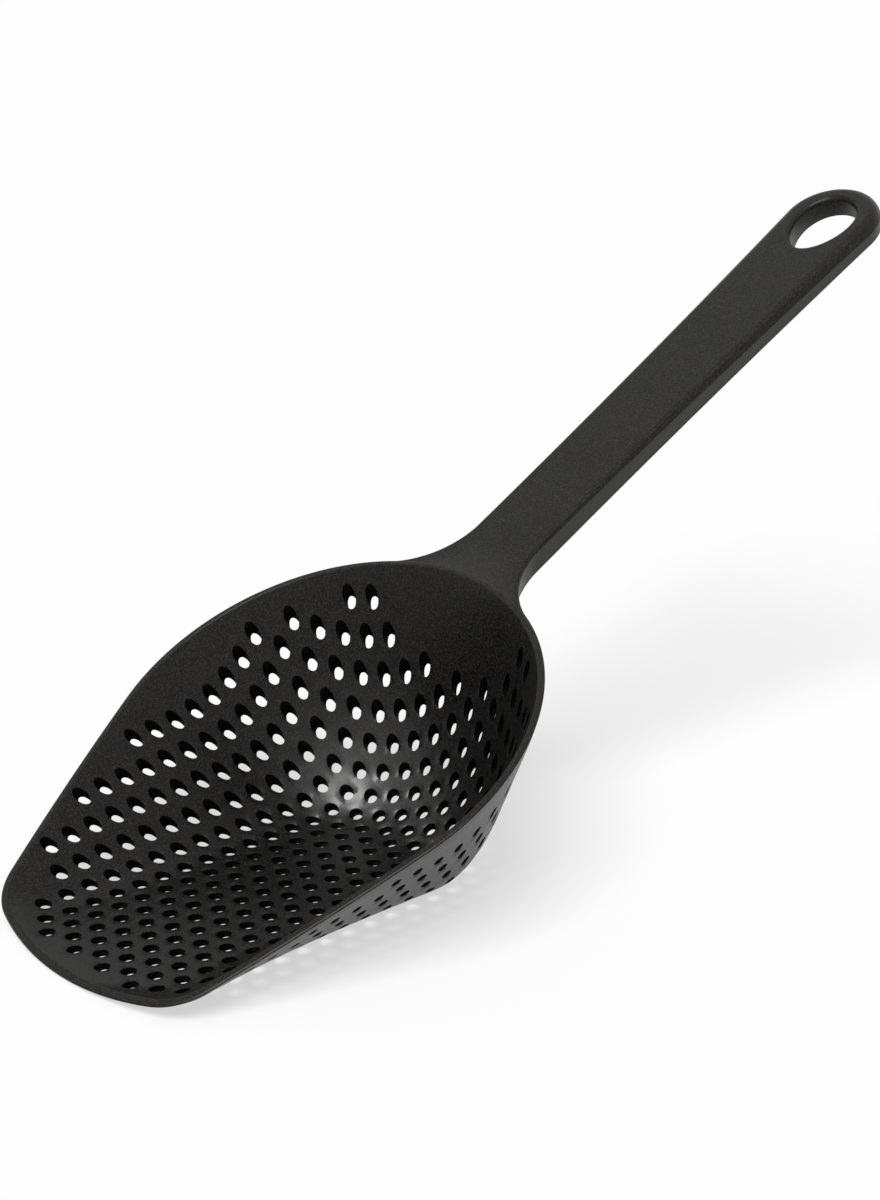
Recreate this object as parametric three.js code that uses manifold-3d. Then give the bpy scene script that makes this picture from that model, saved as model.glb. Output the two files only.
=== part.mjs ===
// Strainer scoop: a perforated bowl with an open lip and a long handle, moulded in one piece.
// Millimetres, +Z up. It is drawn as it lies in its mould: the rim and the handle's top share
// one flat face at height zero, x runs across the scoop, y from the lip to the handle's end, and
// every drain hole runs along z. The last lines turn it to stand on its flat floor.

import * as THREE from 'three';
import * as BufferGeometryUtils from 'three/addons/utils/BufferGeometryUtils.js';
import Module from 'manifold-3d';

const wasm = await Module();
wasm.setup();

const degree = Math.PI / 180;

// Bowl, seen from above: tangent arcs round the back, down each side, the corners and the lip.
const bowlRadius = 66;
const lipReach = 98.3;
const lipRadius = 88.5;
const lipCornerRadius = 19.3;
const sideBowRadius = 943;
const sideStartAngle = -16.2 * degree;

// Bowl, seen from the side. The flat floor rises to the lip, where its underside ends just below
// the parting line.
const wall = 2.1;
const floorAngle = 28.45 * degree;
const lipFace = 0.22;
const backWallAngle = 58.8 * degree;
const lipWallAngle = 41 * degree;
const sideFillet = 8.4;
const backFillet = 22;
const filletRoomShare = 0.9;

// Rim, from its parting line up to the flat face and over to the inside.
const rimRise = 0.8;
const innerEdge = 0.35;

// Drain holes, on a triangular grid that is even along the mould's opening direction.
const holePitch = 7;
const holeTopDiameter = 4.1;
const holeEndDiameter = 3.1;
const gridOffset = -1.6;
const sideMargin = 2.4;
const backMargin = 3.7;
const lipMargin = 4.73;
const lipZone = 70;
const backZone = 15;
const blankHalfWidth = 27;
const blankStart = 48.5;
const originHalfRow = -11;

// Handle. From the bowl on it rises a little over the rim's face.
const handleReach = 255.1;
const handleRise = 1 * degree;
const neckHalfWidth = 12.4;
const tipHalfWidth = 16.1;
const neckFillet = 26;
const handleDepth = 7.1;
const handleDraft = 2 * degree;
const neckRound = 0.8;
const tipRound = 3.2;
const neckOverlap = 12;
const rootDepth = 0.5;

// Channel under the handle.
const sideWall = 1.4;
const topPlate = 1.4;
const channelEndWall = 1;
const bossWall = 1.4;
const ribCount = 4;
const ribSpacing = 32;
const ribThickness = 1.2;
const ribRecess = 2;

// Hanging hole.
const hangHalfWidth = 9.25;
const hangHalfLength = 12.5;
const hangEndWall = 6.7;
const hangRound = 1.5;
const eggShare = 0.12;

// How far a cutter runs past what it cuts.
const overrun = 3;

// Counts of straight steps in the curves.
const lipStations = 3;
const cornerStations = 5;
const sideStations = 6;
const backStations = 16;
const neckStations = 5;
const shaftStations = 5;
const tipStations = 6;
const hangStations = 20;
const roundSteps = 2;

const floorSlope = Math.tan(floorAngle);
const columnPitch = holePitch * Math.sqrt(3) / 2;
const shaftEnd = handleReach - tipHalfWidth;
const sides = 6;
const angleTie = 1e-6;
const handlePose = new THREE.Matrix4().makeTranslation(0, bowlRadius, 0)
  .multiply(new THREE.Matrix4().makeRotationX(handleRise))
  .multiply(new THREE.Matrix4().makeTranslation(0, -bowlRadius, 0));

function solid(positions, faces) {
  return new wasm.Manifold(new wasm.Mesh({
    numProp: 3,
    vertProperties: new Float32Array(positions),
    triVerts: new Uint32Array(faces),
  }));
}

function flatten(points) {
  return points.flatMap(({ x, y, z }) => [x, y, z]);
}

// A closed body from rings of equal count, from the lowest up, each turning left seen from above.
function loft(rings) {
  const count = rings[0].length;
  const faces = [];
  for (let ring = 0; ring < rings.length - 1; ring += 1) {
    for (let step = 0; step < count; step += 1) {
      const a = ring * count + step;
      const b = ring * count + (step + 1) % count;
      faces.push(a, b, b + count, a, b + count, a + count);
    }
  }
  const last = (rings.length - 1) * count;
  capFaces(rings[0]).forEach(([a, b, c]) => faces.push(c, b, a));
  capFaces(rings[rings.length - 1]).forEach(([a, b, c]) => faces.push(last + a, last + b, last + c));
  return solid(flatten(rings.flat()), faces);
}

function plan(points) {
  return points.map(({ x, y }) => new THREE.Vector2(x, y));
}

function capFaces(ring) {
  return THREE.ShapeUtils.triangulateShape(plan(ring), []);
}

// Points and outward normals along an arc, leaving out its last point.
function arcStations(centre, radius, from, to, count) {
  const stations = [];
  for (let step = 0; step < count; step += 1) {
    const angle = THREE.MathUtils.lerp(from, to, step / count);
    const normal = new THREE.Vector2(Math.cos(angle), Math.sin(angle));
    stations.push({ point: normal.clone().multiplyScalar(radius).add(centre), normal });
  }
  return stations;
}

// Where two circles cross, on the right of the line from the first centre to the second.
function crossing(first, firstRadius, second, secondRadius) {
  const along = second.clone().sub(first);
  const distance = along.length();
  along.normalize();
  const reach = (firstRadius ** 2 - secondRadius ** 2 + distance ** 2) / (2 * distance);
  const rise = Math.sqrt(firstRadius ** 2 - reach ** 2);
  const across = new THREE.Vector2(along.y, -along.x);
  return first.clone().addScaledVector(along, reach).addScaledVector(across, rise);
}

function angleTo(centre, target) {
  return Math.atan2(target.y - centre.y, target.x - centre.x);
}

function mirrored({ point, normal }) {
  return { point: new THREE.Vector2(-point.x, point.y), normal: new THREE.Vector2(-normal.x, normal.y) };
}

function inset({ point, normal }, inward, height) {
  return new THREE.Vector3(point.x - normal.x * inward, point.y - normal.y * inward, height);
}

function insetRing(outline, inward, height) {
  return outline.map((station) => inset(station, inward, height));
}

// Rings of the handle, drawn level with the rim, as they rise from the bowl.
function raised(rings) {
  return rings.map((ring) => ring.map((point) => point.clone().applyMatrix4(handlePose)));
}

function lifted(ring, height) {
  return ring.map(({ x, y }) => new THREE.Vector3(x, y, height));
}

// The bowl's outline at the parting line, from the lip's middle up the right side and down the left.
function bowlOutline() {
  const back = new THREE.Vector2(0, 0);
  const sideDirection = new THREE.Vector2(Math.cos(sideStartAngle), Math.sin(sideStartAngle));
  const side = sideDirection.clone().multiplyScalar(bowlRadius - sideBowRadius);
  const lip = new THREE.Vector2(0, lipRadius - lipReach);
  const corner = crossing(side, sideBowRadius - lipCornerRadius, lip, lipRadius - lipCornerRadius);
  const lipEnd = angleTo(lip, corner);
  const cornerEnd = angleTo(side, corner);
  const half = [
    ...arcStations(lip, lipRadius, -Math.PI / 2, lipEnd, lipStations),
    ...arcStations(corner, lipCornerRadius, lipEnd, cornerEnd, cornerStations),
    ...arcStations(side, sideBowRadius, cornerEnd, sideStartAngle, sideStations),
    ...arcStations(back, bowlRadius, sideStartAngle, Math.PI / 2, backStations),
  ];
  const middle = arcStations(back, bowlRadius, Math.PI / 2, Math.PI, 1);
  return [...half, ...middle, ...half.slice(1).reverse().map(mirrored)];
}

function wallAngleAt(y) {
  const share = (bowlRadius - y) / (bowlRadius + lipReach);
  return THREE.MathUtils.lerp(backWallAngle, lipWallAngle, share ** 2);
}

// Distance in from the outline to the sloping wall's inside (skin 0) or outside (skin = wall).
function wallInwardAt({ point }, skin, height) {
  const angle = wallAngleAt(point.y);
  return (wall - skin) / Math.sin(angle) - (height + rimRise) / Math.tan(angle);
}

function floorHeightAt(y, skin) {
  return (wall - skin) / Math.cos(floorAngle) - floorSlope * (y + lipReach) - rimRise - lipFace;
}

// The bowl's section along the way in from a station: where it leaves the top face, and its heights.
function bowlProfile(station, skin) {
  const { point, normal } = station;
  const wallAngle = wallAngleAt(point.y);
  const wallSlope = Math.tan(wallAngle);
  const floorRun = floorSlope * normal.y;
  const floorBase = floorHeightAt(point.y, skin);
  const wallZero = wallInwardAt(station, skin, 0);
  const slopeChange = wallSlope + floorRun;
  const foot = (wallSlope * wallZero - floorBase) / slopeChange;
  const start = foot > wallZero ? wallZero : -floorBase / floorRun;
  const turn = (wallAngle + Math.atan(floorRun)) / 2;
  const innerFillet = THREE.MathUtils.lerp(sideFillet, backFillet, Math.max(normal.y, 0));
  const room = Math.max(foot - start, 0) * filletRoomShare;
  const fillet = Math.min(innerFillet + skin * Math.sin(turn), room);
  const heightAt = (inward, y) => {
    const floor = floorHeightAt(y, skin);
    return filletedMax(wallSlope * (wallZero - inward), floor, fillet * slopeChange);
  };
  return { start, heightAt };
}

// The higher of two heights, with a parabolic fillet where they are within reach of each other.
function filletedMax(a, b, reach) {
  const near = reach > 0 ? Math.max(reach - Math.abs(a - b), 0) / reach : 0;
  return Math.max(a, b) + near * near * reach / 4;
}

// The nearest place on the bowl's outline to a point, and how far in from it the point lies.
function nearestOnOutline(outline, target) {
  let nearest = { inward: Infinity };
  outline.forEach((station, index) => {
    const next = outline[(index + 1) % outline.length];
    const edge = next.point.clone().sub(station.point);
    const along = target.clone().sub(station.point).dot(edge) / edge.lengthSq();
    const share = THREE.MathUtils.clamp(along, 0, 1);
    const point = station.point.clone().addScaledVector(edge, share);
    const inward = point.distanceTo(target);
    if (inward < nearest.inward) {
      const normal = station.normal.clone().lerp(next.normal, share).normalize();
      nearest = { inward, station: { point, normal } };
    }
  });
  return nearest;
}

function insideOutline(outline, { x, y }) {
  let inside = false;
  outline.forEach(({ point }, index) => {
    const next = outline[(index + 1) % outline.length].point;
    const spans = (point.y > y) !== (next.y > y);
    if (spans && x < THREE.MathUtils.mapLinear(y, point.y, next.y, point.x, next.x)) {
      inside = !inside;
    }
  });
  return inside;
}

function holeMarginAt(y) {
  if (y < -lipZone) {
    return lipMargin;
  }
  return y > -backZone ? backMargin : sideMargin;
}

function hasHole(outline, place) {
  const blank = Math.abs(place.x) < blankHalfWidth && place.y > blankStart;
  const { inward, station } = nearestOnOutline(outline, place);
  const margin = bowlProfile(station, 0).start + holeMarginAt(place.y);
  return !blank && insideOutline(outline, place) && inward > margin;
}

// The drain holes in plan. A hole's place in the grid is its column and half row, with an even sum.
function drainHoles(outline) {
  const columns = Math.floor(bowlRadius / columnPitch);
  const halfRows = Math.ceil(lipReach / holePitch) * 2;
  const holes = [];
  for (let column = -columns; column <= columns; column += 1) {
    for (let halfRow = -halfRows; halfRow <= halfRows; halfRow += 1) {
      const place = new THREE.Vector2(column * columnPitch, gridOffset + halfRow * holePitch / 2);
      if ((column + halfRow) % 2 === 0 && hasHole(outline, place)) {
        holes.push({ column, halfRow, place });
      }
    }
  }
  return holes;
}

// A hole is a hexagon whose sides face its six neighbours. Corner and side numbers turn left from +x.
function cornerOf(hole, corner) {
  return hole * sides + corner % sides;
}

// Faces of the web between neighbouring holes: a strip between each pair, a triangle among each three.
function webFaces(holes) {
  const steps = [[1, 1], [0, 2], [-1, 1]];
  const numbers = new Map(holes.map(({ column, halfRow }, number) => [`${column} ${halfRow}`, number]));
  const faces = [];
  holes.forEach(({ column, halfRow }, here) => {
    const around = steps.map(([across, up]) => numbers.get(`${column + across} ${halfRow + up}`));
    around.forEach((there, side) => {
      const beyond = around[side + 1];
      if (there !== undefined) {
        const [a, b] = [cornerOf(here, side), cornerOf(there, side + 4)];
        const [c, d] = [cornerOf(there, side + 3), cornerOf(here, side + 1)];
        faces.push([a, b, c], [a, c, d]);
      }
      if (there !== undefined && beyond !== undefined) {
        faces.push([cornerOf(here, side + 1), cornerOf(there, side + 3), cornerOf(beyond, side + 5)]);
      }
    });
  });
  return faces;
}

// The loop of corners round the whole hole pattern, holes included, turning left seen from above.
function patternBorder(holeCount, web) {
  const edges = web.flatMap(([a, b, c]) => [[a, b], [b, c], [c, a]]);
  for (let hole = 0; hole < holeCount; hole += 1) {
    for (let corner = 0; corner < sides; corner += 1) {
      edges.push([cornerOf(hole, corner), cornerOf(hole, corner + 1)]);
    }
  }
  const known = new Set(edges.map(([from, to]) => `${from} ${to}`));
  const next = new Map(edges.filter(([from, to]) => !known.has(`${to} ${from}`)));
  const first = next.keys().next().value;
  const loop = [first];
  for (let corner = next.get(first); corner !== first; corner = next.get(corner)) {
    loop.push(corner);
  }
  return loop;
}

// Corners of every hole, lying on the bowl's inside (skin 0) or outside (skin = wall).
function holeCorners(outline, holes, radius, skin) {
  return holes.flatMap(({ place }) => Array.from({ length: sides }, (_, corner) => {
    const angle = corner / sides * 2 * Math.PI;
    const point = new THREE.Vector2(Math.cos(angle), Math.sin(angle)).multiplyScalar(radius).add(place);
    const { inward, station } = nearestOnOutline(outline, point);
    return new THREE.Vector3(point.x, point.y, bowlProfile(station, skin).heightAt(inward, point.y));
  }));
}

// Rings of an outline's rounded top edge, from the parting line up to the flat face.
function edgeRings(outline, radiusAt) {
  const rings = [];
  for (let step = 0; step <= roundSteps; step += 1) {
    const angle = step / roundSteps * Math.PI / 2;
    rings.push(outline.map((station) => {
      const radius = radiusAt(station.point.y);
      return inset(station, radius * (1 - Math.cos(angle)), radius * (Math.sin(angle) - 1));
    }));
  }
  return rings;
}

// Rings of the rim, from the parting line outside over the flat face to the bowl's inside.
function rimRings(outline) {
  const flat = outline.map((station) => inset(station, bowlProfile(station, 0).start - innerEdge, 0));
  const inner = outline.map((station) => {
    const { start, heightAt } = bowlProfile(station, 0);
    const place = inset(station, start + innerEdge, 0);
    return place.setZ(heightAt(start + innerEdge, place.y));
  });
  return [...edgeRings(outline, () => rimRise), flat, inner];
}

function planTurn(a, b, c) {
  return (b.x - a.x) * (c.y - a.y) - (b.y - a.y) * (c.x - a.x);
}

function cornerAngle(apex, a, b) {
  return a.clone().sub(apex).angleTo(b.clone().sub(apex));
}

// Turns the edge that two faces share wherever the two angles across it add up to over half a turn.
function evenOut(faces, points) {
  const across = new Map();
  const note = (face) => face.forEach((from, side) => {
    across.set(`${from} ${face[(side + 1) % 3]}`, { face, apex: face[(side + 2) % 3] });
  });
  faces.forEach(note);
  const waiting = [...across.keys()];
  while (waiting.length > 0) {
    const [a, b] = waiting.pop().split(' ').map(Number);
    const left = across.get(`${a} ${b}`);
    const right = across.get(`${b} ${a}`);
    if (left && right) {
      const [c, d] = [left.apex, right.apex];
      const [pa, pb, pc, pd] = [a, b, c, d].map((index) => points[index]);
      const open = planTurn(pa, pd, pc) > 0 && planTurn(pd, pb, pc) > 0;
      if (open && cornerAngle(pc, pa, pb) + cornerAngle(pd, pa, pb) > Math.PI * (1 + angleTie)) {
        across.delete(`${a} ${b}`);
        across.delete(`${b} ${a}`);
        left.face.splice(0, 3, a, d, c);
        right.face.splice(0, 3, d, b, c);
        note(left.face);
        note(right.face);
        waiting.push(`${a} ${d}`, `${d} ${b}`, `${b} ${c}`, `${c} ${a}`);
      }
    }
  }
}

// The perforated bowl: an inside and an outside sheet of the same faces, the holes' walls and the rim.
function bowlShell(outline) {
  const count = outline.length;
  const holes = drainHoles(outline);
  const inside = holeCorners(outline, holes, holeTopDiameter / 2, 0);
  const outside = holeCorners(outline, holes, holeEndDiameter / 2, wall);
  const rings = rimRings(outline);
  const points = [...outside, ...rings.flat(), ...inside];
  const above = points.length - inside.length;
  const innerRing = above - count;

  const web = webFaces(holes);
  const border = patternBorder(holes.length, web);
  const borderPlan = plan(border.map((corner) => inside[corner]));
  const margin = THREE.ShapeUtils.triangulateShape(plan(rings[rings.length - 1]), [borderPlan]);
  evenOut(margin, [...rings[rings.length - 1], ...border.map((corner) => inside[corner])]);

  const faces = [];
  web.forEach(([a, b, c]) => {
    faces.push(above + a, above + b, above + c, c, b, a);
  });
  const upper = (index) => (index < count ? innerRing + index : above + border[index - count]);
  const lower = (index) => (index < count ? outside.length + index : border[index - count]);
  margin.forEach((face) => {
    const [a, b, c] = face.map(upper);
    const [d, e, f] = face.map(lower);
    faces.push(a, b, c, f, e, d);
  });
  for (let hole = 0; hole < holes.length; hole += 1) {
    for (let corner = 0; corner < sides; corner += 1) {
      const [a, b] = [cornerOf(hole, corner), cornerOf(hole, corner + 1)];
      faces.push(above + a, above + b, b, above + a, b, a);
    }
  }
  for (let ring = 0; ring < rings.length - 1; ring += 1) {
    for (let step = 0; step < count; step += 1) {
      const a = outside.length + ring * count + step;
      const b = outside.length + ring * count + (step + 1) % count;
      faces.push(a, b, b + count, a, b + count, a + count);
    }
  }
  return solid(flatten(points), faces);
}

// A plug that fills the bowl's sloping wall down past the handle's foot, out to a skin's surface.
function bowlPlug(outline, skin) {
  const ringAt = (height) => {
    return outline.map((station) => inset(station, wallInwardAt(station, skin, height), height));
  };
  return loft([ringAt(-handleDepth - 2 * overrun), ringAt(overrun)]);
}

// Share of the way from the bowl to where the handle's round end starts.
function handleShareAt(y) {
  return THREE.MathUtils.clamp((y - bowlRadius) / (shaftEnd - bowlRadius), 0, 1);
}

function handleHalfWidthAt(y) {
  return THREE.MathUtils.lerp(neckHalfWidth, tipHalfWidth, handleShareAt(y) ** 2);
}

function handleRoundAt(y) {
  return THREE.MathUtils.lerp(neckRound, tipRound, handleShareAt(y));
}

// The handle's outline from inside the bowl by the right of the neck to the tip. The neck's fillets
// meet the round back as wide as it is at a height, so that they follow its sloping outside down.
function handleOutline(height) {
  const back = { point: new THREE.Vector2(0, bowlRadius) };
  const backRadius = bowlRadius - Math.max(wallInwardAt(back, wall, height), 0);
  const filletX = neckHalfWidth + neckFillet;
  const filletCentre = new THREE.Vector2(filletX, Math.sqrt((backRadius + neckFillet) ** 2 - filletX ** 2));
  const tangent = angleTo(filletCentre, new THREE.Vector2(0, 0)) + 2 * Math.PI;
  const neck = arcStations(filletCentre, neckFillet, tangent, Math.PI, neckStations);
  neck.forEach(({ normal }) => normal.negate());
  const shaft = [];
  for (let step = 0; step < shaftStations; step += 1) {
    const y = THREE.MathUtils.lerp(filletCentre.y, shaftEnd, step / shaftStations);
    const widening = (handleHalfWidthAt(y + overrun) - handleHalfWidthAt(y)) / overrun;
    const normal = new THREE.Vector2(1, -widening).normalize();
    shaft.push({ point: new THREE.Vector2(handleHalfWidthAt(y), y), normal });
  }
  const tipCentre = new THREE.Vector2(0, shaftEnd);
  const tip = arcStations(tipCentre, tipHalfWidth, 0, Math.PI / 2, tipStations);
  const end = arcStations(tipCentre, tipHalfWidth, Math.PI / 2, Math.PI, 1);
  const root = neck[0].point.clone().setLength(backRadius - neckOverlap);
  const half = [{ point: root, normal: new THREE.Vector2(1, 0) }, ...neck, ...shaft, ...tip];
  return [...half, ...end, ...half.slice().reverse().map(mirrored)];
}

function handleBlank() {
  const footInset = handleDepth * Math.tan(handleDraft);
  const foot = insetRing(handleOutline(-handleDepth), footInset, -handleDepth);
  return loft(raised([foot, ...edgeRings(handleOutline(-rimRise), handleRoundAt)]));
}

// The channel under the handle, open below, with the hole's boss and the cross ribs left standing.
function handleChannel(bowl) {
  const mouth = -handleDepth - overrun;
  const draftInset = (handleDepth - topPlate) * Math.tan(handleDraft);
  const boss = loft(raised([
    insetRing(hangOutline(), -bossWall - draftInset, -topPlate - 2 * handleDepth),
    insetRing(hangOutline(), -bossWall, 0),
  ]));
  let channel = loft(raised([
    insetRing(handleOutline(mouth), sideWall, mouth),
    insetRing(handleOutline(-topPlate), sideWall + draftInset, -topPlate),
  ]));
  channel = channel.subtract(bowlPlug(bowl, wall + channelEndWall)).subtract(boss);
  for (let rib = 0; rib < ribCount; rib += 1) {
    channel = channel.subtract(crossRib(bowlRadius + ribSpacing * (rib + 1 / 2)));
  }
  return channel;
}

function crossRib(y) {
  const height = handleDepth - ribRecess;
  const rib = new THREE.BoxGeometry(tipHalfWidth * 2, ribThickness, height);
  rib.translate(0, y, -height / 2);
  rib.applyMatrix4(handlePose);
  rib.deleteAttribute('normal');
  rib.deleteAttribute('uv');
  const merged = BufferGeometryUtils.mergeVertices(rib);
  return solid(merged.attributes.position.array, merged.index.array);
}

// The hanging hole's outline, an egg that narrows towards the bowl.
function hangOutline() {
  const centre = handleReach - hangEndWall - hangHalfLength;
  return Array.from({ length: hangStations }, (_, step) => {
    const angle = step / hangStations * 2 * Math.PI;
    const halfWidth = hangHalfWidth * (1 + eggShare * Math.sin(angle));
    const point = new THREE.Vector2(halfWidth * Math.cos(angle), centre + hangHalfLength * Math.sin(angle));
    const normal = new THREE.Vector2(hangHalfLength * Math.cos(angle), hangHalfWidth * Math.sin(angle));
    return { point, normal: normal.normalize() };
  });
}

function hangingHole() {
  const outline = hangOutline();
  const rings = [insetRing(outline, 0, -handleDepth - overrun)];
  for (let step = 0; step <= roundSteps; step += 1) {
    const angle = step / roundSteps * Math.PI / 2;
    rings.push(insetRing(outline, hangRound * (Math.cos(angle) - 1), hangRound * (Math.sin(angle) - 1)));
  }
  return loft(raised([...rings, lifted(rings[rings.length - 1], overrun)]));
}

function scoopSolid() {
  const bowl = bowlOutline();
  const grip = handleBlank()
    .subtract(bowlPlug(bowl, rootDepth))
    .subtract(handleChannel(bowl))
    .subtract(hangingHole());
  return bowlShell(bowl).add(grip);
}

function toGeometry(manifold) {
  const { vertProperties, triVerts } = manifold.getMesh();
  const geometry = new THREE.BufferGeometry();
  geometry.setAttribute('position', new THREE.BufferAttribute(vertProperties, 3));
  geometry.setIndex(new THREE.BufferAttribute(triVerts, 1));
  return geometry;
}

// Black moulded plastic, one piece from lip to handle.
const plastic = new THREE.MeshStandardMaterial({ color: 0x1c1b19, roughness: 0.55, metalness: 0 });
const scoop = new THREE.Mesh(toGeometry(scoopSolid()), plastic);
scoop.name = 'scoop_moulding';

// Turned until the floor lies level, with the origin under it, halfway between two middle holes.
const originY = gridOffset + originHalfRow * holePitch / 2;
const foot = new THREE.Vector3(0, originY, floorHeightAt(originY, wall));
scoop.rotation.x = floorAngle;
scoop.position.copy(foot.applyEuler(scoop.rotation).negate());

const group = new THREE.Group();
group.add(scoop);
export default group;
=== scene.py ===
import math
import bmesh
import bpy
from mathutils import Euler, Matrix, Vector


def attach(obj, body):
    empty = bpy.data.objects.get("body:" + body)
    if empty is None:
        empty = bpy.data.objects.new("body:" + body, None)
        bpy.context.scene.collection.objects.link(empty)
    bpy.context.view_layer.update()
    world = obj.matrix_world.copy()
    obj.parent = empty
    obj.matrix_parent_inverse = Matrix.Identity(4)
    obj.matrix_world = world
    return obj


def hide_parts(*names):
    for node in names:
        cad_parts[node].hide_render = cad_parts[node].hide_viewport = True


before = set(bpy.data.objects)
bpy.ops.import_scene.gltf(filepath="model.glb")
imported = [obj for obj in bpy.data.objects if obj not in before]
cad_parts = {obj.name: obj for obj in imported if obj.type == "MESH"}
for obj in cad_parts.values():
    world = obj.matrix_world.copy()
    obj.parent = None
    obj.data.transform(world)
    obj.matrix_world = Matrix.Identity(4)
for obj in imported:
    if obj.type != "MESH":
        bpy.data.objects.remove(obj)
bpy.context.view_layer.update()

# The moulding is worked out in millimetres, lying in its mould: the rim's face at height zero, x
# across, y from the lip to the handle's end. The last step turns it onto its floor.
mm = 0.001
tiny = 1e-4

bowl = {
    "backRadius": 66.0, "lipReach": 98.3, "lipRadius": 88.5, "cornerRadius": 19.3,
    "sideRadius": 943.0, "sideStart": math.radians(-16.2), "wall": 2.1,
    "floorAngle": math.radians(28.45), "backWallAngle": math.radians(58.8),
    "lipWallAngle": math.radians(41), "lipFace": 0.22, "sideFillet": 8.4, "backFillet": 22.0,
    "filletRoom": 0.9, "rimRise": 0.8, "innerEdge": 0.24, "support": 0.08, "roundSteps": 4,
    "edgeShares": (1, 1 / 3, -1 / 3, -1), "lipSteps": 24, "cornerSteps": 14, "sideSteps": 48,
    "backSteps": 64, "fineEdge": 2.6, "fineTurns": 2,
}
holes = {
    "pitch": 7.0, "topRadius": 1.95, "endRadius": 1.55, "edge": 0.15, "offset": -1.6,
    "sideMargin": 2.4, "backMargin": 3.7, "lipMargin": 4.73, "lipZone": 70.0, "backZone": 15.0,
    "blankHalfWidth": 27.0, "blankStart": 48.5, "segments": 18, "cellRoom": 0.3, "originHalfRow": -11,
    "edgeReach": 1.5, "weld": 0.01,
}

columnPitch = holes["pitch"] * math.sqrt(3) / 2
cellRadius = holes["pitch"] / math.sqrt(3)
floorSlope = math.tan(bowl["floorAngle"])


def lerp(a, b, share):
    return a + (b - a) * share


def crossing(first, firstRadius, second, secondRadius):
    # where two circles cross, on the right of the line from the first centre to the second
    along = second - first
    distance = along.length
    along = along / distance
    reach = (firstRadius ** 2 - secondRadius ** 2 + distance ** 2) / (2 * distance)
    across = Vector((along.y, -along.x))
    return first + along * reach + across * math.sqrt(firstRadius ** 2 - reach ** 2)


def angleTo(centre, target):
    return math.atan2(target.y - centre.y, target.x - centre.x)


def outlineArcs():
    # centre, radius, first and last angle and steps of the outline's right half, from the lip's middle
    b = bowl
    along = Vector((math.cos(b["sideStart"]), math.sin(b["sideStart"])))
    side = along * (b["backRadius"] - b["sideRadius"])
    lip = Vector((0, b["lipRadius"] - b["lipReach"]))
    corner = crossing(side, b["sideRadius"] - b["cornerRadius"], lip, b["lipRadius"] - b["cornerRadius"])
    lipEnd, cornerEnd = angleTo(lip, corner), angleTo(side, corner)
    return [
        (lip, b["lipRadius"], -math.pi / 2, lipEnd, b["lipSteps"]),
        (corner, b["cornerRadius"], lipEnd, cornerEnd, b["cornerSteps"]),
        (side, b["sideRadius"], cornerEnd, b["sideStart"], b["sideSteps"]),
        (Vector((0, 0)), b["backRadius"], b["sideStart"], math.pi / 2, b["backSteps"]),
    ]


arcs = outlineArcs()


def nearOutline(x, y):
    # how far in from the outline a place lies, and the outline's normal at the nearest point
    best = None
    for centre, radius, start, end, steps in arcs:
        across, up = abs(x) - centre.x, y - centre.y
        angle = math.atan2(up, across)
        inward = radius - math.hypot(across, up)
        if start - tiny <= angle <= end + tiny and (best is None or inward < best[0]):
            best = (inward, math.copysign(math.cos(angle), x), math.sin(angle))
    return best


def wallAngleAt(y):
    share = (bowl["backRadius"] - y) / (bowl["backRadius"] + bowl["lipReach"])
    return lerp(bowl["backWallAngle"], bowl["lipWallAngle"], share ** 2)


def wallInwardAt(y, skin, height):
    angle = wallAngleAt(y)
    return (bowl["wall"] - skin) / math.sin(angle) - (height + bowl["rimRise"]) / math.tan(angle)


def floorHeightAt(y, skin):
    rise = (bowl["wall"] - skin) / math.cos(bowl["floorAngle"])
    return rise - floorSlope * (y + bowl["lipReach"]) - bowl["rimRise"] - bowl["lipFace"]


def filletedMax(a, b, reach):
    near = max(reach - abs(a - b), 0) / reach if reach > 0 else 0
    return max(a, b) + near * near * reach / 4


def startAt(outlineY, normalY):
    # where the bowl's inside leaves the rim's flat face, in from the outline
    wallZero = wallInwardAt(outlineY, 0, 0)
    slope = math.tan(wallAngleAt(outlineY))
    base = floorHeightAt(outlineY, 0)
    foot = (slope * wallZero - base) / (slope + floorSlope * normalY)
    return wallZero if foot > wallZero else -base / (floorSlope * normalY)


def skinHeightAt(x, y, skin):
    # height of the bowl's inside (skin 0) or outside (skin = wall) over a place in plan
    inward, normalX, normalY = nearOutline(x, y)
    outlineY = y + normalY * inward
    wallAngle = wallAngleAt(outlineY)
    slope = math.tan(wallAngle)
    floorRun = floorSlope * normalY
    wallZero = wallInwardAt(outlineY, skin, 0)
    change = slope + floorRun
    foot = (slope * wallZero - floorHeightAt(outlineY, skin)) / change
    start = wallZero if foot > wallZero else -floorHeightAt(outlineY, skin) / floorRun
    turn = (wallAngle + math.atan(floorRun)) / 2
    innerFillet = lerp(bowl["sideFillet"], bowl["backFillet"], max(normalY, 0))
    room = max(foot - start, 0) * bowl["filletRoom"]
    fillet = min(innerFillet + skin * math.sin(turn), room)
    return filletedMax(slope * (wallZero - inward), floorHeightAt(y, skin), fillet * change)


def gridPlace(column, halfRow):
    return Vector((column * columnPitch, holes["offset"] + halfRow * holes["pitch"] / 2))


def roomAt(place):
    # from a place to where the bowl's inside leaves the rim, or minus infinity outside the outline
    near = nearOutline(place.x, place.y)
    if near is None or near[0] <= 0:
        return -math.inf
    return near[0] - startAt(place.y + near[2] * near[0], near[2])


def hasHole(place):
    h = holes
    margin = h["backMargin"] if place.y > -h["backZone"] else h["sideMargin"]
    margin = h["lipMargin"] if place.y < -h["lipZone"] else margin
    blank = abs(place.x) < h["blankHalfWidth"] and place.y > h["blankStart"]
    return not blank and roomAt(place) > margin


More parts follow.
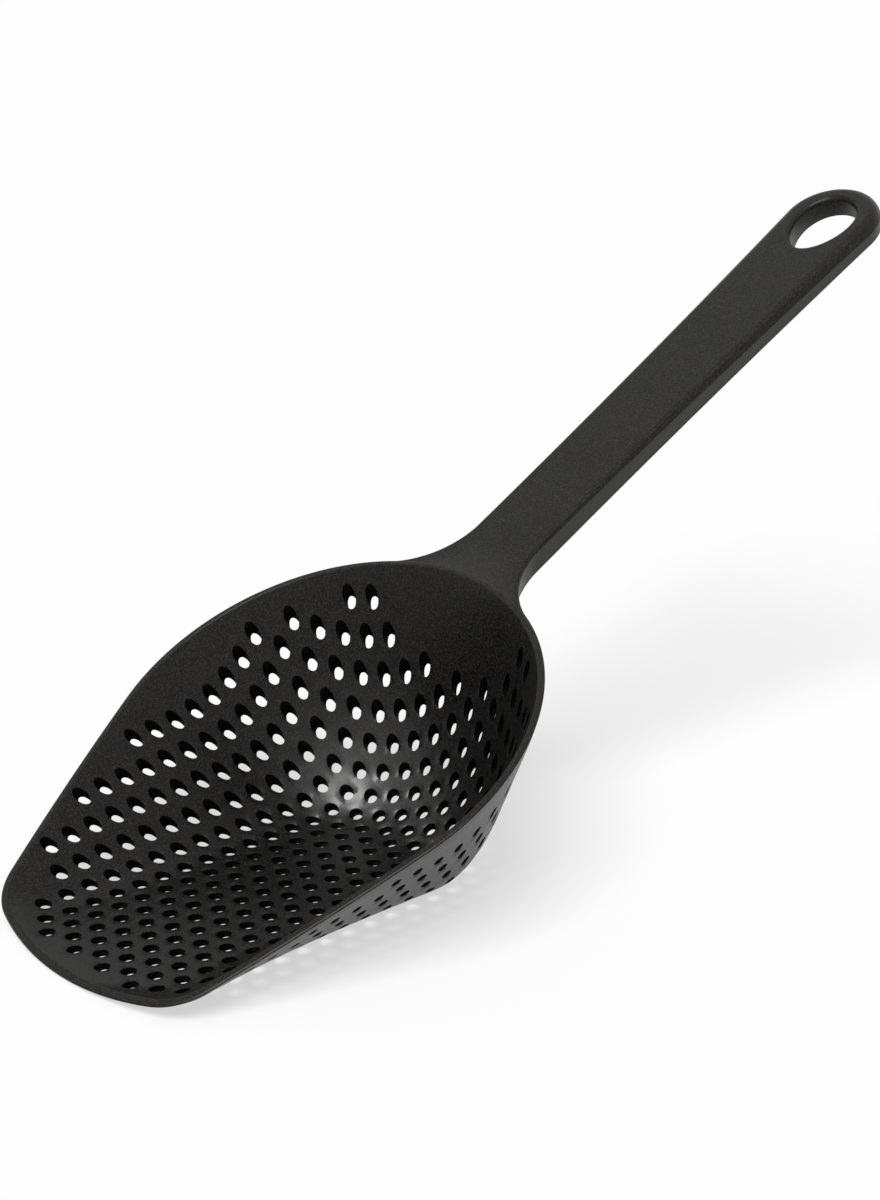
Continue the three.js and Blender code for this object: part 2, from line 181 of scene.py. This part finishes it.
def wholeCell(place):
    turns = [corner * math.pi / 3 for corner in range(6)]
    corners = [place + cellRadius * Vector((math.cos(turn), math.sin(turn))) for turn in turns]
    return min(roomAt(corner) for corner in corners) > bowl["innerEdge"] + holes["cellRoom"]


def nearestCell(x, y):
    column = round(x / columnPitch)
    places = []
    for c in (column - 1, column, column + 1):
        half = (y - holes["offset"]) / holes["pitch"] * 2
        row = round((half - c) / 2) * 2 + c
        places.append(gridPlace(c, row))
    return min(places, key=lambda place: (place - Vector((x, y))).length_squared)


def circle(mesh, radius, segments, turn):
    made = bmesh.ops.create_circle(mesh, radius=radius, segments=segments,
                                   matrix=Matrix.Rotation(turn, 4, "Z"))
    return made["verts"]


def once(items):
    # each item once, in the same order in every run, which a set wouldn't keep
    return list(dict.fromkeys(items))


def edgesAmong(verts):
    inside = set(verts)
    return [e for e in once(e for v in verts for e in v.link_edges) if set(e.verts) <= inside]


def edgesInside(faces):
    # the edges with one of these faces on each side
    inside = set(faces)
    around = once(e for f in faces for e in f.edges)
    return [e for e in around if len(e.link_faces) == 2 and set(e.link_faces) <= inside]


def hexagon(mesh):
    corners = circle(mesh, cellRadius, 6, math.pi / 6)
    bmesh.ops.subdivide_edges(mesh, edges=edgesAmong(corners), cuts=holes["segments"] // 6 - 1)
    return list(mesh.verts)


def asMesh(mesh, name):
    data = bpy.data.meshes.new(name)
    mesh.to_mesh(data)
    mesh.free()
    return data


def holeRing(mesh):
    # the chamfer round a hole, in plan
    h = holes
    turn = math.pi / h["segments"]
    outer = circle(mesh, h["topRadius"] + h["edge"], h["segments"], turn)
    inner = circle(mesh, h["topRadius"], h["segments"], turn)
    bmesh.ops.bridge_loops(mesh, edges=edgesAmong(outer) + edgesAmong(inner))
    return outer


def cellMeshes():
    # a drilled cell, a blank cell and a hole's bare chamfer ring, as templates in plan
    drilled = bmesh.new()
    border = hexagon(drilled)
    outer = holeRing(drilled)
    bmesh.ops.bridge_loops(drilled, edges=edgesAmong(border) + edgesAmong(outer))
    blank = bmesh.new()
    border = hexagon(blank)
    face = bmesh.ops.contextual_create(blank, geom=edgesAmong(border))["faces"]
    bmesh.ops.poke(blank, faces=face)
    bare = bmesh.new()
    holeRing(bare)
    return asMesh(drilled, "drilledCell"), asMesh(blank, "blankCell"), asMesh(bare, "bareHole")


def addCells(sheet):
    drilled, blank, bare = cellMeshes()
    columns = math.ceil(bowl["backRadius"] / columnPitch)
    halfRows = math.ceil(bowl["lipReach"] / holes["pitch"]) * 2
    count = 0
    for column in range(-columns, columns + 1):
        for halfRow in range(-halfRows, halfRows + 1):
            if (column + halfRow) % 2:
                continue
            place = gridPlace(column, halfRow)
            hole, whole = hasHole(place), wholeCell(place)
            if hole or whole:
                template = (drilled if hole else blank) if whole else bare
                copy = template.copy()
                copy.transform(Matrix.Translation((place.x, place.y, 0)))
                sheet.from_mesh(copy)
                bpy.data.meshes.remove(copy)
                count += hole
    for template in (drilled, blank, bare):
        bpy.data.meshes.remove(template)
    bmesh.ops.remove_doubles(sheet, verts=sheet.verts, dist=holes["weld"])
    return count


def rimStations():
    stations = []
    for centre, radius, start, end, steps in arcs:
        for step in range(steps):
            angle = lerp(start, end, step / steps)
            normal = Vector((math.cos(angle), math.sin(angle)))
            stations.append((centre + normal * radius, normal))
    top = (Vector((0, bowl["backRadius"])), Vector((0, 1)))
    left = [(Vector((-p.x, p.y)), Vector((-n.x, n.y))) for p, n in reversed(stations[1:])]
    return stations + [top] + left


def addRimLoop(sheet):
    stations = rimStations()
    ring = bmesh.ops.create_circle(sheet, radius=1, segments=len(stations))["verts"]
    for vert, (point, normal) in zip(ring, stations):
        inward = startAt(point.y, normal.y) + bowl["innerEdge"]
        place = point - normal * inward
        vert.co = (place.x, place.y, 0)


def onHole(vert):
    cell = nearestCell(vert.co.x, vert.co.y)
    near = (cell - vert.co.xy).length < holes["topRadius"] + holes["edge"] / 2
    return near and hasHole(cell)


def fillMargin(sheet):
    # triangles between the rim and the outermost cells, short enough to follow the curved walls
    openEdges = [e for e in sheet.edges if len(e.link_faces) < 2 and not onHole(e.verts[0])]
    made = bmesh.ops.triangle_fill(sheet, use_beauty=True, use_dissolve=False, edges=openEdges,
                                   normal=(0, 0, 1))["geom"]
    faces = [g for g in made if isinstance(g, bmesh.types.BMFace)]
    before = set(sheet.faces) - set(faces)
    for turn in range(bowl["fineTurns"]):
        longEdges = [e for e in edgesInside(faces) if e.calc_length() > bowl["fineEdge"]]
        bmesh.ops.subdivide_edges(sheet, edges=longEdges, cuts=1)
        faces = [f for f in sheet.faces if f not in before]
        faces = bmesh.ops.triangulate(sheet, faces=faces)["faces"]
        bmesh.ops.beautify_fill(sheet, faces=faces, edges=edgesInside(faces), method="ANGLE")
        faces = [f for f in sheet.faces if f not in before]


def rimProfile(point, normal):
    # from the bowl's inside over the rim to its parting line: way in from the outline and height
    b, start = bowl, startAt(point.y, normal.y)
    foot = point - normal * (start + b["innerEdge"])
    drop = -skinHeightAt(foot.x, foot.y, 0)
    places = [(start + b["innerEdge"] * s, -filletedMax(0, drop * s, drop)) for s in b["edgeShares"]]
    places += [(start - b["innerEdge"] - b["support"], 0), (b["rimRise"] + b["support"], 0)]
    for step in range(b["roundSteps"], -1, -1):
        angle = step / b["roundSteps"] * math.pi / 2
        places.append((b["rimRise"] * (1 - math.cos(angle)), b["rimRise"] * (math.sin(angle) - 1)))
    return places


def holeEdgePlace(cell, place, skin):
    # a vertex of a hole's edge, or None for one that lies further out
    h = holes
    away = place - cell
    if away.length > h["topRadius"] + h["edgeReach"] * h["edge"] or not hasHole(cell):
        return None
    inner = away.length < h["topRadius"] + h["edge"] / 2
    away.normalize()
    outer = cell + away * (h["endRadius"] if skin else h["topRadius"] + h["edge"])
    height = skinHeightAt(outer.x, outer.y, skin)
    if skin or not inner:
        return Vector((outer.x, outer.y, height))
    place = cell + away * h["topRadius"]
    return Vector((place.x, place.y, height - h["edge"]))


def shapeBowl(mesh):
    # the flat sheet becomes a closed shell, its inside at height 1 and its outside at 0, and then each
    # vertex goes to its real place
    rim = {v for e in mesh.edges if e.is_boundary for v in e.verts if not onHole(v)}
    whole = mesh.verts[:] + mesh.edges[:] + mesh.faces[:]
    made = bmesh.ops.extrude_face_region(mesh, geom=whole, use_keep_orig=True)["geom"]
    lower = {g for g in made if isinstance(g, bmesh.types.BMVert)}
    for vert in mesh.verts:
        vert.co.z = 0 if vert in lower else 1
    posts = [e for e in mesh.edges if rim & set(e.verts) and lower & set(e.verts)]
    rimVerts = {v for e in posts for v in e.verts}
    rings = len(rimProfile(*rimStations()[0])) - 1
    cut = bmesh.ops.subdivide_edges(mesh, edges=posts, cuts=rings - 1, use_grid_fill=True)
    rimVerts |= {g for g in cut["geom_inner"] if isinstance(g, bmesh.types.BMVert)}
    for vert in mesh.verts:
        place = vert.co.xy
        skin = bowl["wall"] if vert.co.z < 0.5 else 0
        if vert in rimVerts:
            inward, normalX, normalY = nearOutline(place.x, place.y)
            normal = Vector((normalX, normalY))
            point = place + normal * inward
            way, height = rimProfile(point, normal)[round((1 - vert.co.z) * rings)]
            place = point - normal * way
            vert.co = (place.x, place.y, height)
            continue
        edge = holeEdgePlace(nearestCell(place.x, place.y), place, skin)
        vert.co = edge or (place.x, place.y, skinHeightAt(place.x, place.y, skin))
    bmesh.ops.remove_doubles(mesh, verts=mesh.verts, dist=tiny)
    bmesh.ops.recalc_face_normals(mesh, faces=mesh.faces)
    markBoreShade(mesh)


def markBoreShade(mesh):
    # the drain holes' own walls, on which the material paints shade
    boreShade = mesh.faces.layers.float.new("boreShade")
    for face in mesh.faces:
        centre = face.calc_center_median().xy
        cell = nearestCell(centre.x, centre.y)
        near = (cell - centre).length < holes["topRadius"] - holes["edge"] / 2
        face[boreShade] = 1.0 if near and hasHole(cell) else 0.0


handle = {
    "reach": 255.1, "rise": math.radians(1), "neckHalfWidth": 12.4, "tipHalfWidth": 16.1,
    "neckFillet": 26.0, "depth": 7.1, "draft": math.radians(2), "neckRound": 0.8, "tipRound": 3.3,
    "bite": 0.8, "ridge": 0.12, "ridgeGrowth": 5, "footRound": 0.35, "footShare": 0.3,
    "sideWall": 1.4, "topPlate": 1.4, "endWall": 1.0,
    "ribs": 4, "ribSpacing": 32.0, "ribThickness": 1.2, "ribRecess": 2.0, "ribBite": 0.5,
    "slopeRun": 1.0, "rootSteps": 8, "neckSteps": 16, "shaftSteps": 24, "tipSteps": 22,
    "roundSteps": 6,
}
hang = {
    "halfWidth": 9.25, "halfLength": 12.5, "endWall": 6.7, "round": 1.5, "egg": 0.12,
    "bossWall": 1.4, "footRound": 0.3, "bossSpread": 0.15, "steps": 56, "roundSteps": 5,
}
shaftEnd = handle["reach"] - handle["tipHalfWidth"]


def handleShareAt(y):
    return min(max((y - bowl["backRadius"]) / (shaftEnd - bowl["backRadius"]), 0), 1)


def handleHalfWidthAt(y):
    return lerp(handle["neckHalfWidth"], handle["tipHalfWidth"], handleShareAt(y) ** 2)


def handleRoundAt(y):
    return lerp(handle["neckRound"], handle["tipRound"], handleShareAt(y))


def handleStations(height, inset, rootShift):
    # points and outward normals of the right half at a height, from the root's middle to the tip; the
    # neck's fillet is tangent to the bowl's round back, which narrows downwards
    h = handle
    backRadius = bowl["backRadius"] - max(wallInwardAt(bowl["backRadius"], bowl["wall"], height), 0)
    rootRadius = backRadius + rootShift
    filletX = h["neckHalfWidth"] + h["neckFillet"]
    centre = Vector((filletX, math.sqrt((backRadius + h["neckFillet"]) ** 2 - filletX ** 2)))
    radius, far = h["neckFillet"] + inset, centre.length
    turn = (far ** 2 + radius ** 2 - rootRadius ** 2) / (2 * far * radius)
    first = math.atan2(-centre.y, -centre.x) + 2 * math.pi - math.acos(min(turn, 1))
    neck = []
    for step in range(h["neckSteps"]):
        angle = lerp(first, math.pi, step / h["neckSteps"])
        away = Vector((math.cos(angle), math.sin(angle)))
        neck.append((centre + away * radius, -away))
    rootEnd = math.atan2(neck[0][0].y, neck[0][0].x)
    root = []
    for step in range(h["rootSteps"]):
        angle = lerp(math.pi / 2, rootEnd, step / h["rootSteps"])
        root.append((Vector((math.cos(angle), math.sin(angle))) * rootRadius, Vector((0, 0))))
    shaft = []
    for step in range(h["shaftSteps"]):
        y = lerp(centre.y, shaftEnd, step / h["shaftSteps"])
        narrowing = handleHalfWidthAt(y) - handleHalfWidthAt(y + h["slopeRun"])
        normal = Vector((h["slopeRun"], narrowing)).normalized()
        shaft.append((Vector((handleHalfWidthAt(y), y)) - normal * inset, normal))
    tip = []
    for step in range(h["tipSteps"] + 1):
        angle = step / h["tipSteps"] * math.pi / 2
        away = Vector((math.cos(angle), math.sin(angle)))
        tip.append((Vector((0, shaftEnd)) + away * (h["tipHalfWidth"] - inset), away))
    return root + neck + shaft + tip


def wholeRing(half):
    return half + [(-x, y, z) for x, y, z in reversed(half[1:-1])]


def handleRings():
    h = handle
    top = handleStations(-bowl["rimRise"], 0, -h["bite"])
    rings = []

    def ringOf(insetAt, heightAt):
        # a ring round the top edge, from how far in and how high it runs for an edge round and a ridge
        half = []
        for point, normal in top:
            edge = handleRoundAt(point.y)
            ridge = h["ridge"] * min(handleShareAt(point.y) * h["ridgeGrowth"], 1)
            place = point - normal * insetAt(edge, ridge)
            half.append((place.x, place.y, heightAt(edge, h["ridge"])))
        rings.append(wholeRing(half))

    ringOf(lambda r, ridge: r + bowl["support"], lambda r, ridge: 0)
    for step in range(h["roundSteps"], -1, -1):
        angle = step / h["roundSteps"] * math.pi / 2
        cos, sin = math.cos(angle), math.sin(angle)
        ringOf(lambda r, ridge: ridge + (r - ridge) * (1 - cos), lambda r, ridge: r * (sin - 1))
    ringOf(lambda r, ridge: 0, lambda r, ridge: -r - ridge)
    ringOf(lambda r, ridge: ridge, lambda r, ridge: -r - 2 * ridge)
    draft, foot = math.tan(h["draft"]), h["footRound"]

    def lowRing(height, inset, rootShift):
        # a level ring of the sides, the underside or the channel
        half = handleStations(height, inset, rootShift)
        rings.append(wholeRing([(point.x, point.y, height) for point, normal in half]))

    side = h["depth"] * draft
    lowRing(-h["depth"] + foot, side, -h["bite"])
    lowRing(-h["depth"] + foot * h["footShare"], side + foot * h["footShare"], -h["bite"])
    lowRing(-h["depth"], side + foot, -h["bite"])
    lowRing(-h["depth"], h["sideWall"] - foot / 2, h["endWall"])
    lowRing(-h["depth"] + foot, h["sideWall"], h["endWall"])
    lowRing(-h["topPlate"] - foot, h["sideWall"] + (h["depth"] - h["topPlate"]) * draft, h["endWall"])
    lowRing(-h["topPlate"], h["sideWall"] + side + foot, h["endWall"] + foot)
    return rings


def hangRings():
    # from the top face down the hole, round its boss's foot and up to the channel's ceiling
    h, centre = hang, handle["reach"] - hang["endWall"] - hang["halfLength"]
    depth, plate, wall, foot = handle["depth"], handle["topPlate"], h["bossWall"], h["footRound"]
    levels = [(h["round"] + bowl["support"], 0)]
    for step in range(h["roundSteps"], -1, -1):
        angle = step / h["roundSteps"] * math.pi / 2
        levels.append((h["round"] * (1 - math.cos(angle)), h["round"] * (math.sin(angle) - 1)))
    levels += [(0, -depth + foot), (foot, -depth), (wall, -depth), (wall + h["bossSpread"], -plate)]
    rings = []
    for outward, height in levels:
        ring = []
        for step in range(h["steps"]):
            angle = step / h["steps"] * 2 * math.pi
            cos, sin = math.cos(angle), math.sin(angle)
            away = Vector((h["halfLength"] * cos, h["halfWidth"] * sin)).normalized()
            ring.append((h["halfWidth"] * (1 + h["egg"] * sin) * cos + away.x * outward,
                         centre + h["halfLength"] * sin + away.y * outward, height))
        rings.append(ring)
    return rings


def loft(mesh, rings):
    # a tube through rings of equal count; its first and last loops of edges are left open
    verts = bmesh.ops.create_circle(mesh, radius=1, segments=len(rings[0]))["verts"]
    edges = edgesAmong(verts)
    loops = []
    for level, places in enumerate(rings):
        if level:
            made = bmesh.ops.extrude_edge_only(mesh, edges=edges)["geom"]
            fresh = {g for g in made if isinstance(g, bmesh.types.BMVert)}
            verts = [next(o for o in (e.other_vert(v) for e in v.link_edges) if o in fresh) for v in verts]
            edges = edgesAmong(verts)
        for vert, place in zip(verts, places):
            vert.co = place
        loops.append(edges)
    return loops[0], loops[-1]


def addHandle(mesh):
    body = bmesh.new()
    topEdge, ceilingEdge = loft(body, handleRings())
    holeTop, bossTop = loft(body, hangRings())
    for loops in (topEdge + holeTop, ceilingEdge + bossTop):
        bmesh.ops.triangle_fill(body, use_beauty=True, use_dissolve=False, edges=loops,
                                normal=(0, 0, 1))
    bmesh.ops.recalc_face_normals(body, faces=body.faces)
    h = handle
    for rib in range(h["ribs"]):
        y = bowl["backRadius"] + h["ribSpacing"] * (rib + 0.5)
        height = h["depth"] - h["ribRecess"] - h["topPlate"] + h["ribBite"]
        width = 2 * (handleHalfWidthAt(y) - h["sideWall"] + h["ribBite"])
        middle = Matrix.Translation((0, y, -h["topPlate"] + h["ribBite"] - height / 2))
        size = Matrix.Diagonal((width, h["ribThickness"], height, 1))
        bmesh.ops.create_cube(body, size=1, matrix=middle @ size)
    hinge = Vector((0, bowl["backRadius"], 0))
    rise = Matrix.Rotation(h["rise"], 3, "X")
    bmesh.ops.rotate(body, cent=hinge, matrix=rise, verts=body.verts)
    data = asMesh(body, "handle")
    mesh.from_mesh(data)
    bpy.data.meshes.remove(data)


def standing():
    # from the mould's millimetres to the scoop on its floor in metres
    originY = holes["offset"] + holes["originHalfRow"] * holes["pitch"] / 2
    turn = Matrix.Rotation(bowl["floorAngle"], 4, "X")
    foot = turn @ Vector((0, originY, floorHeightAt(originY, bowl["wall"])))
    return Matrix.Scale(mm, 4) @ Matrix.Translation(-foot) @ turn


sharpAngle = math.radians(50)
sheet = bmesh.new()
holeCount = addCells(sheet)
addRimLoop(sheet)
fillMargin(sheet)
shapeBowl(sheet)
print("bowl", holeCount, "holes", len(sheet.faces), "faces")
addHandle(sheet)
sheet.transform(standing())
scoop = bpy.data.objects.new("scoop", asMesh(sheet, "scoop"))
bpy.context.scene.collection.objects.link(scoop)
for face in scoop.data.polygons:
    face.use_smooth = True
scoop.data.set_sharp_from_angle(angle=sharpAngle)
print("scoop", len(scoop.data.polygons), "faces")


class Value:
    # a socket of numbers that takes part in sums
    def __init__(self, tree, socket):
        self.tree, self.socket = tree, socket

    def sum(self, operation, first, second):
        return self.tree.add("ShaderNodeMath", {"operation": operation}, {0: first, 1: second})

    def __add__(self, other):
        return self.sum("ADD", self, other)

    def __rsub__(self, other):
        return self.sum("SUBTRACT", other, self)

    def __mul__(self, other):
        return self.sum("MULTIPLY", self, other)

    __radd__ = __add__


class Shader:
    # one material's node tree, or the world's
    def __init__(self, nodeTree):
        self.nodeTree = nodeTree
        nodeTree.nodes.clear()

    def add(self, kind, settings=None, inputs=None, output=0):
        # a node with its settings and inputs; what comes back is the output that is used
        node = self.nodeTree.nodes.new(kind)
        for name, value in (settings or {}).items():
            setattr(node, name, value)
        for name, value in (inputs or {}).items():
            if isinstance(value, Value):
                self.nodeTree.links.new(value.socket, node.inputs[name])
            else:
                node.inputs[name].default_value = value
        return Value(self, node.outputs[output]) if node.outputs else None

    def ramp(self, value, low, high):
        return self.add("ShaderNodeMapRange", {"interpolation_type": "SMOOTHSTEP"},
                        {"Value": value, "From Min": low, "From Max": high})

    def noise(self, place, scale, detail, roughness):
        return self.add("ShaderNodeTexNoise", inputs={
            "Vector": place, "Scale": scale, "Detail": detail, "Roughness": roughness})

    def isRay(self, kind):
        return self.add("ShaderNodeLightPath", output=f"Is {kind} Ray")

    def whiteRays(self):
        # 1 for the rays that see the white background
        return self.isRay("Camera") + self.isRay("Glossy") + self.isRay("Transmission")


# Grain, fleck and mottle are noises, each given by its scale, detail and roughness.
plastic = {
    "dark": (0.0006, 0.0006, 0.0005, 1), "light": (0.017, 0.0165, 0.0147, 1),
    "roughness": 0.29, "mottleRoughness": 0.1, "fleckRoughness": 0.06, "shine": 0.19,
    "tint": (1, 0.97, 0.9, 1),
    "grain": (1500.0, 3.0, 0.6), "grainDepth": 0.00003, "grainStrength": 0.7,
    "fleck": (2000.0, 1.0, 0.5), "fleckLow": 0.44, "fleckHigh": 0.64, "fleckShare": 0.9,
    "mottle": (60.0, 4.0, 0.55), "mottleLow": 0.3, "mottleHigh": 0.7, "mottleShare": 0.1,
    # painted shade: the next colour and share darken the drain holes' walls
    "boreShadeColour": (0.001, 0.001, 0.001, 1), "boreShadeShare": 0.85,
    # painted sheen: the next entries set a coat in the corner where the floor meets the back, which
    # brightens the sheen there
    "sheenCentre": (-0.018, 0.055, 0.008), "sheenNear": 0.004, "sheenFar": 0.045,
    "paintedSheen": 0.85, "sheenRoughness": 0.34,
}


def plasticMaterial():
    material = bpy.data.materials.new("black_plastic")
    material.use_nodes = True
    shader = Shader(material.node_tree)
    p = plastic
    place = shader.add("ShaderNodeTexCoord", output="Object")
    grain, fleck, mottle = (shader.noise(place, *p[name]) for name in ("grain", "fleck", "mottle"))
    speck = shader.ramp(fleck, p["fleckLow"], p["fleckHigh"])
    cloud = shader.ramp(mottle, p["mottleLow"], p["mottleHigh"])
    tone = cloud * p["mottleShare"] + speck * p["fleckShare"]
    # a mix node's sockets for colours have the same names as its others, so they go by their places
    firstColour, secondColour, mixedColour = 6, 7, 2
    colour = shader.add("ShaderNodeMix", {"data_type": "RGBA"}, {
        0: tone, firstColour: p["dark"], secondColour: p["light"]}, mixedColour)
    roughness = p["roughness"] + mottle * p["mottleRoughness"] + speck * p["fleckRoughness"]
    # painted sheen: a coat confined to the corner where the floor meets the back brightens the lamp's
    # sheen there
    away = shader.add("ShaderNodeVectorMath", {"operation": "DISTANCE"},
                      {0: place, 1: p["sheenCentre"]}, "Value")
    paintedSheen = (1 - shader.ramp(away, p["sheenNear"], p["sheenFar"])) * p["paintedSheen"]
    bump = shader.add("ShaderNodeBump", inputs={
        "Height": grain, "Strength": p["grainStrength"], "Distance": p["grainDepth"]})
    surface = shader.add("ShaderNodeBsdfPrincipled", inputs={
        "Base Color": colour, "Roughness": roughness, "Normal": bump, "Specular IOR Level": p["shine"],
        "Specular Tint": p["tint"], "Coat Weight": paintedSheen, "Coat Roughness": p["sheenRoughness"]})
    # painted shade: a drain hole's wall, which light reaches little, is mixed towards a near-black matte
    boreShadeMatte = shader.add("ShaderNodeBsdfDiffuse", inputs={"Color": p["boreShadeColour"]})
    boreShade = shader.add("ShaderNodeAttribute", {"attribute_name": "boreShade"}, output="Fac")
    surface = shader.add("ShaderNodeMixShader", inputs={0: boreShade * p["boreShadeShare"], 1: surface, 2: boreShadeMatte})
    shader.add("ShaderNodeOutputMaterial", inputs={"Surface": surface})
    return material


scoop.data.materials.append(plasticMaterial())
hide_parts("scoop_moulding")
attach(scoop, "root")
print("material done")


studio = {
    "floorHalf": 8.0, "floorColour": (0.97, 0.97, 0.97, 1), "floorGlow": 0.6, "floorDrop": 0.0002,
    "skyLevel": 0.22, "sunLevel": 3.05, "sunSpread": math.radians(34), "sunLean": math.radians(36),
    "sunHeading": math.radians(28),
}


def addFloor():
    mesh = bmesh.new()
    bmesh.ops.create_grid(mesh, x_segments=1, y_segments=1, size=studio["floorHalf"])
    bmesh.ops.translate(mesh, vec=(0, 0, -studio["floorDrop"]), verts=mesh.verts)
    floor = bpy.data.objects.new("floor", asMesh(mesh, "floor"))
    bpy.context.scene.collection.objects.link(floor)
    material = bpy.data.materials.new("floor")
    material.use_nodes = True
    shader = Shader(material.node_tree)
    matte = shader.add("ShaderNodeBsdfDiffuse", inputs={"Color": studio["floorColour"]})
    # a white glow, shown only to the rays that see the background, lifts the shadow
    white = shader.add("ShaderNodeEmission")
    seen = shader.whiteRays() * studio["floorGlow"]
    surface = shader.add("ShaderNodeMixShader", inputs={0: seen, 1: matte, 2: white})
    shader.add("ShaderNodeOutputMaterial", inputs={"Surface": surface})
    floor.data.materials.append(material)


def addLights():
    s = studio
    sun = bpy.data.lights.new("softLight", "SUN")
    sun.energy, sun.angle = s["sunLevel"], s["sunSpread"]
    lamp = bpy.data.objects.new("softLight", sun)
    lamp.rotation_euler = (s["sunLean"], 0, s["sunHeading"])
    bpy.context.scene.collection.objects.link(lamp)
    world = bpy.data.worlds.new("studio")
    bpy.context.scene.world = world
    world.use_nodes = True
    shader = Shader(world.node_tree)
    level = shader.whiteRays() * (1 - s["skyLevel"]) + s["skyLevel"]
    sky = shader.add("ShaderNodeBackground", inputs={"Color": (1, 1, 1, 1), "Strength": level})
    shader.add("ShaderNodeOutputWorld", inputs={"Surface": sky})


# The photograph's own camera, found from the drain holes: its place and turn in the mould's frame.
photoCamera = {
    "place": Vector((479.5, -242.9, 452.9)),
    "turn": Euler([math.radians(angle) for angle in (50.502, 18.583, 44.423)]),
    "lens": 76.596, "sensor": 36, "shiftX": 0.0474, "shiftY": -0.0474, "clipStart": 0.05,
}


def addCamera():
    c = photoCamera
    data = bpy.data.cameras.new("photoCamera")
    data.lens, data.sensor_width, data.clip_start = c["lens"], c["sensor"], c["clipStart"]
    data.shift_x, data.shift_y = c["shiftX"], c["shiftY"]
    camera = bpy.data.objects.new("photoCamera", data)
    turn = Matrix.Rotation(bowl["floorAngle"], 4, "X") @ c["turn"].to_matrix().to_4x4()
    camera.matrix_world = Matrix.Translation(standing() @ c["place"]) @ turn
    bpy.context.scene.collection.objects.link(camera)
    bpy.context.scene.camera = camera


addFloor()
addLights()
addCamera()
bpy.context.scene.view_settings.view_transform = "Standard"
print("studio done")
